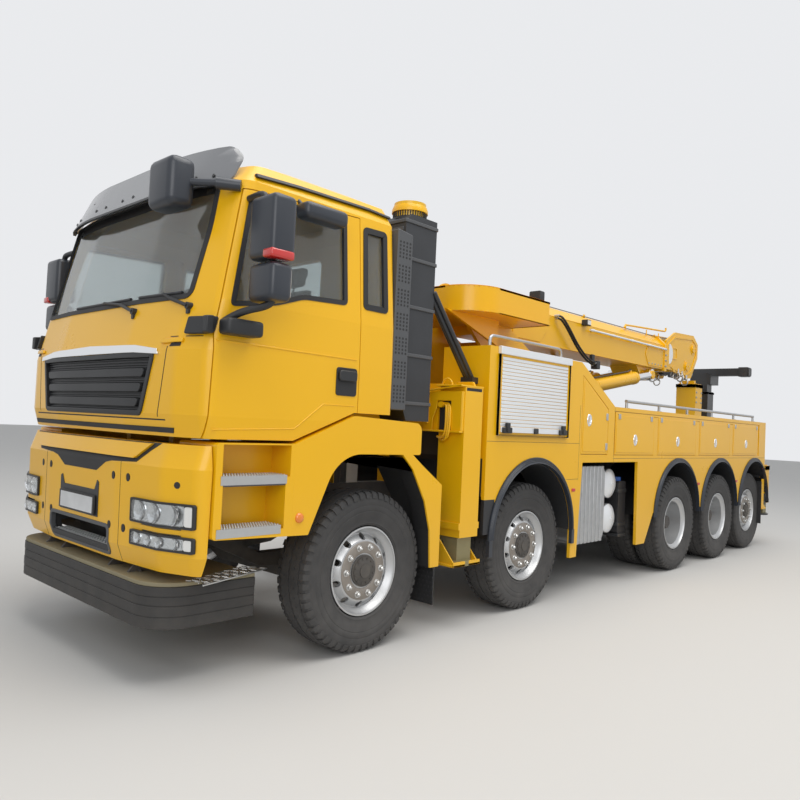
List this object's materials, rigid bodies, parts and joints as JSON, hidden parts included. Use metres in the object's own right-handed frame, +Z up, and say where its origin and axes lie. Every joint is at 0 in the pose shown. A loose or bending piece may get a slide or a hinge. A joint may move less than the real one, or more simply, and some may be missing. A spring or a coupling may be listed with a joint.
{
  "type": "heavy recovery truck",
  "caption": "Cab-over heavy recovery truck with a slewing telescopic crane boom, side lockers, outriggers and a folding rear underlift.",
  "frame": {"origin": "on the ground under the middle of the overall length, on the truck's centre line", "axes": "+X forward, +Y to the truck's left, +Z up"},
  "size_m": [10.695, 3.12, 3.19],
  "materials": {
    "tyre_rubber": "satin",
    "wheel_silver": "satin",
    "axle_iron": "matt",
    "frame_paint": "satin",
    "engine_iron": "matt",
    "yellow_paint": "gloss",
    "window_glass": "gloss",
    "dark_plastic": "satin",
    "cabin_trim": "matt",
    "lamp_lens": "gloss",
    "pusher_paint": "matt",
    "equipment_metal": "satin",
    "cylinder_paint": "gloss",
    "chrome_rod": "polished",
    "jack_steel": "brushed"
  },
  "bodies": {
    "chassis": {"frame": "frame_paint", "axles": "axle_iron", "engine_block": "engine_iron", "front_wings": "yellow_paint", "front_bumper": "yellow_paint", "lamps": "lamp_lens", "pusher_bumper": "pusher_paint", "body_shell": "yellow_paint", "chassis_equipment": "equipment_metal"},
    "cab": {"cab_shell": "yellow_paint", "cab_glass": "window_glass", "cab_interior": "cabin_trim", "cab_trim": "dark_plastic"},
    "door_left_body": {"door_left": "yellow_paint", "door_glass_left": "window_glass", "mirror_left": "dark_plastic"},
    "door_right_body": {"door_right": "yellow_paint", "door_glass_right": "window_glass", "mirror_right": "dark_plastic"},
    "knuckle_1_left_body": {"knuckle_1_left": "axle_iron"},
    "knuckle_1_right_body": {"knuckle_1_right": "axle_iron"},
    "knuckle_2_left_body": {"knuckle_2_left": "axle_iron"},
    "knuckle_2_right_body": {"knuckle_2_right": "axle_iron"},
    "wheel_1_left": {"tyre_1_left": "tyre_rubber", "rim_1_left": "wheel_silver"},
    "wheel_1_right": {"tyre_1_right": "tyre_rubber", "rim_1_right": "wheel_silver"},
    "wheel_2_left": {"tyre_2_left": "tyre_rubber", "rim_2_left": "wheel_silver"},
    "wheel_2_right": {"tyre_2_right": "tyre_rubber", "rim_2_right": "wheel_silver"},
    "wheel_3_left": {"tyre_3_left": "tyre_rubber", "rim_3_left": "wheel_silver"},
    "wheel_3_right": {"tyre_3_right": "tyre_rubber", "rim_3_right": "wheel_silver"},
    "wheel_4_left": {"tyre_4_left": "tyre_rubber", "rim_4_left": "wheel_silver"},
    "wheel_4_right": {"tyre_4_right": "tyre_rubber", "rim_4_right": "wheel_silver"},
    "wheel_5_left": {"tyre_5_left": "tyre_rubber", "rim_5_left": "wheel_silver"},
    "wheel_5_right": {"tyre_5_right": "tyre_rubber", "rim_5_right": "wheel_silver"},
    "flaps_left_body": {"flaps_left": "yellow_paint"},
    "locker_door_left_body": {"locker_door_left": "yellow_paint"},
    "flaps_right_body": {"flaps_right": "yellow_paint"},
    "locker_door_right_body": {"locker_door_right": "yellow_paint"},
    "turret_body": {"turret": "yellow_paint"},
    "boom": {"boom_base": "yellow_paint"},
    "boom_stage": {"boom_extension": "yellow_paint"},
    "lift_barrels_body": {"lift_barrels": "cylinder_paint"},
    "lift_rods_body": {"lift_rods": "chrome_rod"},
    "outrigger_left_body": {"outrigger_left": "yellow_paint"},
    "jack_left_body": {"jack_left": "jack_steel"},
    "outrigger_right_body": {"outrigger_right": "yellow_paint"},
    "jack_right_body": {"jack_right": "jack_steel"},
    "rear_jacks_body": {"rear_jacks": "jack_steel"},
    "underlift_mast_body": {"underlift_mast": "yellow_paint"},
    "stinger_body": {"stinger": "yellow_paint"},
    "crossbar_body": {"crossbar": "yellow_paint"}
  },
  "joints": [
    {"name": "cab_tilt", "type": "hinge", "parent": "chassis", "child": "cab", "pos_m": [5.1725, 0, 1], "axis": [0, 1, 0], "range_deg": [0, 60]},
    {"name": "door_left_hinge", "type": "hinge", "parent": "cab", "child": "door_left_body", "pos_m": [5.181, 1.235, 1.9], "axis": [0, 0, -1], "range_deg": [0, 80]},
    {"name": "door_right_hinge", "type": "hinge", "parent": "cab", "child": "door_right_body", "pos_m": [5.181, -1.235, 1.9], "axis": [0, 0, 1], "range_deg": [0, 80]},
    {"name": "steer_1_left", "type": "hinge", "parent": "chassis", "child": "knuckle_1_left_body", "pos_m": [3.8725, 0.878, 0.542], "axis": [0, 0, 1], "range_deg": [-36, 36]},
    {"name": "steer_1_right", "type": "hinge", "parent": "chassis", "child": "knuckle_1_right_body", "pos_m": [3.8725, -0.878, 0.542], "axis": [0, 0, 1], "range_deg": [-36, 36]},
    {"name": "steer_2_left", "type": "hinge", "parent": "chassis", "child": "knuckle_2_left_body", "pos_m": [1.9525, 0.878, 0.542], "axis": [0, 0, 1], "range_deg": [-25.2, 25.2]},
    {"name": "steer_2_right", "type": "hinge", "parent": "chassis", "child": "knuckle_2_right_body", "pos_m": [1.9525, -0.878, 0.542], "axis": [0, 0, 1], "range_deg": [-25.2, 25.2]},
    {"name": "wheel_1_left_spin", "type": "hinge", "parent": "knuckle_1_left_body", "child": "wheel_1_left", "pos_m": [3.8725, 1.03, 0.542], "axis": [0, 1, 0], "continuous": true},
    {"name": "wheel_1_right_spin", "type": "hinge", "parent": "knuckle_1_right_body", "child": "wheel_1_right", "pos_m": [3.8725, -1.03, 0.542], "axis": [0, 1, 0], "continuous": true},
    {"name": "wheel_2_left_spin", "type": "hinge", "parent": "knuckle_2_left_body", "child": "wheel_2_left", "pos_m": [1.9525, 1.03, 0.542], "axis": [0, 1, 0], "continuous": true},
    {"name": "wheel_2_right_spin", "type": "hinge", "parent": "knuckle_2_right_body", "child": "wheel_2_right", "pos_m": [1.9525, -1.03, 0.542], "axis": [0, 1, 0], "continuous": true},
    {"name": "wheel_3_left_spin", "type": "hinge", "parent": "chassis", "child": "wheel_3_left", "pos_m": [-1.0875, 0.925, 0.542], "axis": [0, 1, 0], "continuous": true},
    {"name": "wheel_3_right_spin", "type": "hinge", "parent": "chassis", "child": "wheel_3_right", "pos_m": [-1.0875, -0.925, 0.542], "axis": [0, 1, 0], "continuous": true},
    {"name": "wheel_4_left_spin", "type": "hinge", "parent": "chassis", "child": "wheel_4_left", "pos_m": [-2.4325, 0.925, 0.542], "axis": [0, 1, 0], "continuous": true},
    {"name": "wheel_4_right_spin", "type": "hinge", "parent": "chassis", "child": "wheel_4_right", "pos_m": [-2.4325, -0.925, 0.542], "axis": [0, 1, 0], "continuous": true},
    {"name": "wheel_5_left_spin", "type": "hinge", "parent": "chassis", "child": "wheel_5_left", "pos_m": [-3.7775, 1.03, 0.542], "axis": [0, 1, 0], "continuous": true},
    {"name": "wheel_5_right_spin", "type": "hinge", "parent": "chassis", "child": "wheel_5_right", "pos_m": [-3.7775, -1.03, 0.542], "axis": [0, 1, 0], "continuous": true},
    {"name": "flaps_left_hinge", "type": "hinge", "parent": "chassis", "child": "flaps_left_body", "pos_m": [-1.6875, 1.25, 1.772], "axis": [1, 0, 0], "range_deg": [0, 100]},
    {"name": "locker_door_left_hinge", "type": "hinge", "parent": "chassis", "child": "locker_door_left_body", "pos_m": [0.6825, 1.25, 1.6], "axis": [0, 0, 1], "range_deg": [0, 95]},
    {"name": "flaps_right_hinge", "type": "hinge", "parent": "chassis", "child": "flaps_right_body", "pos_m": [-1.6875, -1.25, 1.772], "axis": [-1, 0, 0], "range_deg": [0, 100]},
    {"name": "locker_door_right_hinge", "type": "hinge", "parent": "chassis", "child": "locker_door_right_body", "pos_m": [0.6825, -1.25, 1.6], "axis": [0, 0, -1], "range_deg": [0, 95]},
    {"name": "slew", "type": "hinge", "parent": "chassis", "child": "turret_body", "pos_m": [0.9225, 0, 1.375], "axis": [0, 0, 1], "range_deg": [-60, 60]},
    {"name": "boom_lift", "type": "hinge", "parent": "turret_body", "child": "boom", "pos_m": [1.3925, 0, 2.73], "axis": [0, 1, 0], "range_deg": [0, 60]},
    {"name": "boom_extend", "type": "slide", "parent": "boom", "child": "boom_stage", "axis": [-1, 0, 0], "range_m": [0, 2.5]},
    {"name": "barrel_tilt", "type": "hinge", "parent": "turret_body", "child": "lift_barrels_body", "pos_m": [0.3925, 0, 1.925], "axis": [0, 1, 0], "range_deg": [0, 63.66]},
    {"name": "rod_slide", "type": "slide", "parent": "lift_barrels_body", "child": "lift_rods_body", "axis": [-0.9857, 0, 0.1685], "range_m": [0, 1.2672]},
    {"name": "outrigger_left_slide", "type": "slide", "parent": "chassis", "child": "outrigger_left_body", "axis": [0, 1, 0], "range_m": [0, 0.6]},
    {"name": "jack_left_slide", "type": "slide", "parent": "outrigger_left_body", "child": "jack_left_body", "axis": [0, 0, -1], "range_m": [0, 0.47]},
    {"name": "outrigger_right_slide", "type": "slide", "parent": "chassis", "child": "outrigger_right_body", "axis": [0, -1, 0], "range_m": [0, 0.6]},
    {"name": "jack_right_slide", "type": "slide", "parent": "outrigger_right_body", "child": "jack_right_body", "axis": [0, 0, -1], "range_m": [0, 0.47]},
    {"name": "rear_jacks_slide", "type": "slide", "parent": "chassis", "child": "rear_jacks_body", "axis": [0, 0, -1], "range_m": [0, 0.43]},
    {"name": "underlift_mast_slide", "type": "slide", "parent": "chassis", "child": "underlift_mast_body", "axis": [0, 0, -1], "range_m": [0, 0.3]},
    {"name": "stinger_fold", "type": "hinge", "parent": "underlift_mast_body", "child": "stinger_body", "pos_m": [-5.0325, 0, 0.9], "axis": [0, -1, 0], "range_deg": [0, 90]},
    {"name": "crossbar_slide", "type": "slide", "parent": "stinger_body", "child": "crossbar_body", "axis": [0, 0, 1], "range_m": [0, 0.9]}
  ],
  "couplings": [
    {"joint": "steer_1_right", "follows": "steer_1_left", "ratio": 1},
    {"joint": "steer_2_left", "follows": "steer_1_left", "ratio": 0.7},
    {"joint": "steer_2_right", "follows": "steer_1_left", "ratio": 0.7},
    {"joint": "barrel_tilt", "follows": "boom_lift", "ratio": 1.0601},
    {"joint": "rod_slide", "follows": "boom_lift", "m_per_rad": 1.2091},
    {"joint": "boom_extend", "follows": "boom_lift", "m_per_rad": 2.3872}
  ]
}
